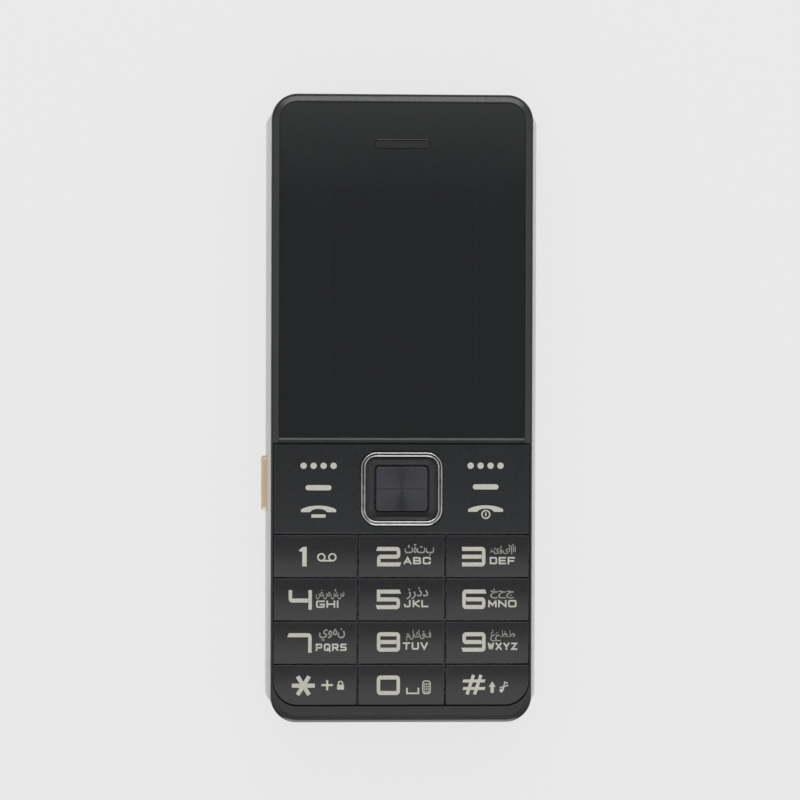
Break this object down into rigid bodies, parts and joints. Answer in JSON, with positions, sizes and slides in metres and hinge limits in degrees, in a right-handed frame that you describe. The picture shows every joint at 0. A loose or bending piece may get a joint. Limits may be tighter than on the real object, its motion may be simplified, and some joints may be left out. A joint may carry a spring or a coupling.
{
  "type": "mobile phone",
  "caption": "Slim one-piece keypad phone: glossy screen window over a function key plate with a chrome-ringed navigation key, number keys below, silver sides and a sliding battery cover.",
  "frame": {"origin": "centre of the back face, on which the phone lies", "axes": "+X to the right as the keys are read, +Y towards the earpiece end, +Z out of the screen"},
  "size_m": [0.0531, 0.1204, 0.0136],
  "materials": {
    "black_housing": "satin moulded",
    "black_keys": "satin moulded",
    "gloss_black": "polished",
    "chrome_ring": "polished",
    "silver_trim": "satin silver lacquer",
    "gold_key": "gold lacquer",
    "display_glass": "polished",
    "clear_cover": "clear",
    "white_plastic": "moulded",
    "foam": "foam",
    "silicone": "matte",
    "polyester_film": "film",
    "polyimide": "film",
    "board_green": "solder mask",
    "spring_steel": "stamped",
    "mesh_steel": "blackened",
    "screw_steel": "zinc plated",
    "dark_plastic": "moulded",
    "battery_wrap": "wrapped",
    "lamp_white": "encapsulated",
    "cell_steel": "plain",
    "heavy_metal": "sintered"
  },
  "bodies": {
    "phone": {"antenna_carrier": "dark_plastic", "battery": "battery_wrap", "battery_connector": "dark_plastic", "camera_module": "gloss_black", "camera_window": "clear_cover", "charging_socket": "spring_steel", "clock_cell": "cell_steel", "display_backlight": "white_plastic", "display_gasket": "foam", "display_panel": "display_glass", "display_ribbon": "polyimide", "dome_film": "polyester_film", "earpiece_mesh": "mesh_steel", "earpiece_speaker": "dark_plastic", "front_housing": "black_housing", "headset_jack": "dark_plastic", "housing_screws": "screw_steel", "key_domes": "spring_steel", "key_lights": "lamp_white", "key_mat": "silicone", "left_side_trim": "silver_trim", "lens_adhesive": "foam", "loudspeaker": "dark_plastic", "loudspeaker_mesh": "mesh_steel", "main_board": "board_green", "memory_card_holder": "spring_steel", "microphone": "spring_steel", "microphone_boot": "foam", "processor_chip": "dark_plastic", "rear_housing": "black_housing", "right_side_trim": "silver_trim", "screen_lens": "gloss_black", "shield_can_processor": "spring_steel", "shield_can_radio": "spring_steel", "side_key_switch": "dark_plastic", "sim_holder_left": "spring_steel", "sim_holder_right": "spring_steel", "torch_led": "lamp_white", "torch_lens": "clear_cover", "vibration_motor": "spring_steel"},
    "key_1": {"key_1": "black_keys"},
    "key_2": {"key_2": "black_keys"},
    "key_3": {"key_3": "black_keys"},
    "key_4": {"key_4": "black_keys"},
    "key_5": {"key_5": "black_keys"},
    "key_6": {"key_6": "black_keys"},
    "key_7": {"key_7": "black_keys"},
    "key_8": {"key_8": "black_keys"},
    "key_9": {"key_9": "black_keys"},
    "key_star": {"key_star": "black_keys"},
    "key_0": {"key_0": "black_keys"},
    "key_hash": {"key_hash": "black_keys"},
    "function_plate": {"function_plate": "black_keys"},
    "nav_ring": {"nav_ring": "chrome_ring"},
    "nav_cap": {"nav_cap": "gloss_black"},
    "ok_key": {"ok_key": "gloss_black"},
    "side_key": {"side_key": "gold_key"},
    "battery_cover": {"battery_cover": "black_housing"},
    "vibration_weight": {"vibration_weight": "heavy_metal"}
  },
  "joints": [
    {"name": "key_1_press", "type": "slide", "parent": "phone", "child": "key_1", "axis": [0, 0, -1], "range_m": [0, 0.0003], "stiffness_N_per_m": 400, "springref_m": -0.0002, "deforming": ["key_mat"]},
    {"name": "key_2_press", "type": "slide", "parent": "phone", "child": "key_2", "axis": [0, 0, -1], "range_m": [0, 0.0003], "stiffness_N_per_m": 400, "springref_m": -0.0002, "deforming": ["key_mat"]},
    {"name": "key_3_press", "type": "slide", "parent": "phone", "child": "key_3", "axis": [0, 0, -1], "range_m": [0, 0.0003], "stiffness_N_per_m": 400, "springref_m": -0.0002, "deforming": ["key_mat"]},
    {"name": "key_4_press", "type": "slide", "parent": "phone", "child": "key_4", "axis": [0, 0, -1], "range_m": [0, 0.0003], "stiffness_N_per_m": 400, "springref_m": -0.0002, "deforming": ["key_mat"]},
    {"name": "key_5_press", "type": "slide", "parent": "phone", "child": "key_5", "axis": [0, 0, -1], "range_m": [0, 0.0003], "stiffness_N_per_m": 400, "springref_m": -0.0002, "deforming": ["key_mat"]},
    {"name": "key_6_press", "type": "slide", "parent": "phone", "child": "key_6", "axis": [0, 0, -1], "range_m": [0, 0.0003], "stiffness_N_per_m": 400, "springref_m": -0.0002, "deforming": ["key_mat"]},
    {"name": "key_7_press", "type": "slide", "parent": "phone", "child": "key_7", "axis": [0, 0, -1], "range_m": [0, 0.0003], "stiffness_N_per_m": 400, "springref_m": -0.0002, "deforming": ["key_mat"]},
    {"name": "key_8_press", "type": "slide", "parent": "phone", "child": "key_8", "axis": [0, 0, -1], "range_m": [0, 0.0003], "stiffness_N_per_m": 400, "springref_m": -0.0002, "deforming": ["key_mat"]},
    {"name": "key_9_press", "type": "slide", "parent": "phone", "child": "key_9", "axis": [0, 0, -1], "range_m": [0, 0.0003], "stiffness_N_per_m": 400, "springref_m": -0.0002, "deforming": ["key_mat"]},
    {"name": "key_star_press", "type": "slide", "parent": "phone", "child": "key_star", "axis": [0, 0, -1], "range_m": [0, 0.0003], "stiffness_N_per_m": 400, "springref_m": -0.0002, "deforming": ["key_mat"]},
    {"name": "key_0_press", "type": "slide", "parent": "phone", "child": "key_0", "axis": [0, 0, -1], "range_m": [0, 0.0003], "stiffness_N_per_m": 400, "springref_m": -0.0002, "deforming": ["key_mat"]},
    {"name": "key_hash_press", "type": "slide", "parent": "phone", "child": "key_hash", "axis": [0, 0, -1], "range_m": [0, 0.0003], "stiffness_N_per_m": 400, "springref_m": -0.0002, "deforming": ["key_mat"]},
    {"name": "ok_key_press", "type": "slide", "parent": "phone", "child": "ok_key", "axis": [0, 0, -1], "range_m": [0, 0.0003], "stiffness_N_per_m": 400, "springref_m": -0.0002, "deforming": ["key_mat"]},
    {"name": "function_plate_rock", "type": "hinge", "parent": "phone", "child": "function_plate", "pos_m": [0, -0.01537, 0.011], "axis": [0, 1, 0], "range_deg": [-0.75, 0.75], "stiffness_Nm_per_rad": 0.4, "deforming": ["key_mat"]},
    {"name": "nav_ring_rock", "type": "hinge", "parent": "phone", "child": "nav_ring", "pos_m": [0, -0.01537, 0.011], "axis": [1, 0, 0], "range_deg": [-1.5, 1.5], "stiffness_Nm_per_rad": 0.06, "deforming": ["key_mat"]},
    {"name": "nav_cap_rock", "type": "hinge", "parent": "nav_ring", "child": "nav_cap", "pos_m": [0, -0.01537, 0.011], "axis": [0, 1, 0], "range_deg": [-1.5, 1.5], "stiffness_Nm_per_rad": 0.06, "deforming": ["key_mat"]},
    {"name": "side_key_press", "type": "slide", "parent": "phone", "child": "side_key", "axis": [1, 0, 0], "range_m": [0, 0.0004], "stiffness_N_per_m": 400, "springref_m": -0.0002},
    {"name": "battery_cover_slide", "type": "slide", "parent": "phone", "child": "battery_cover", "axis": [0, -1, 0], "range_m": [0, 0.095]},
    {"name": "vibration_weight_spin", "type": "hinge", "parent": "phone", "child": "vibration_weight", "pos_m": [0.0141, 0.035, 0.00325], "axis": [1, 0, 0], "continuous": true}
  ]
}
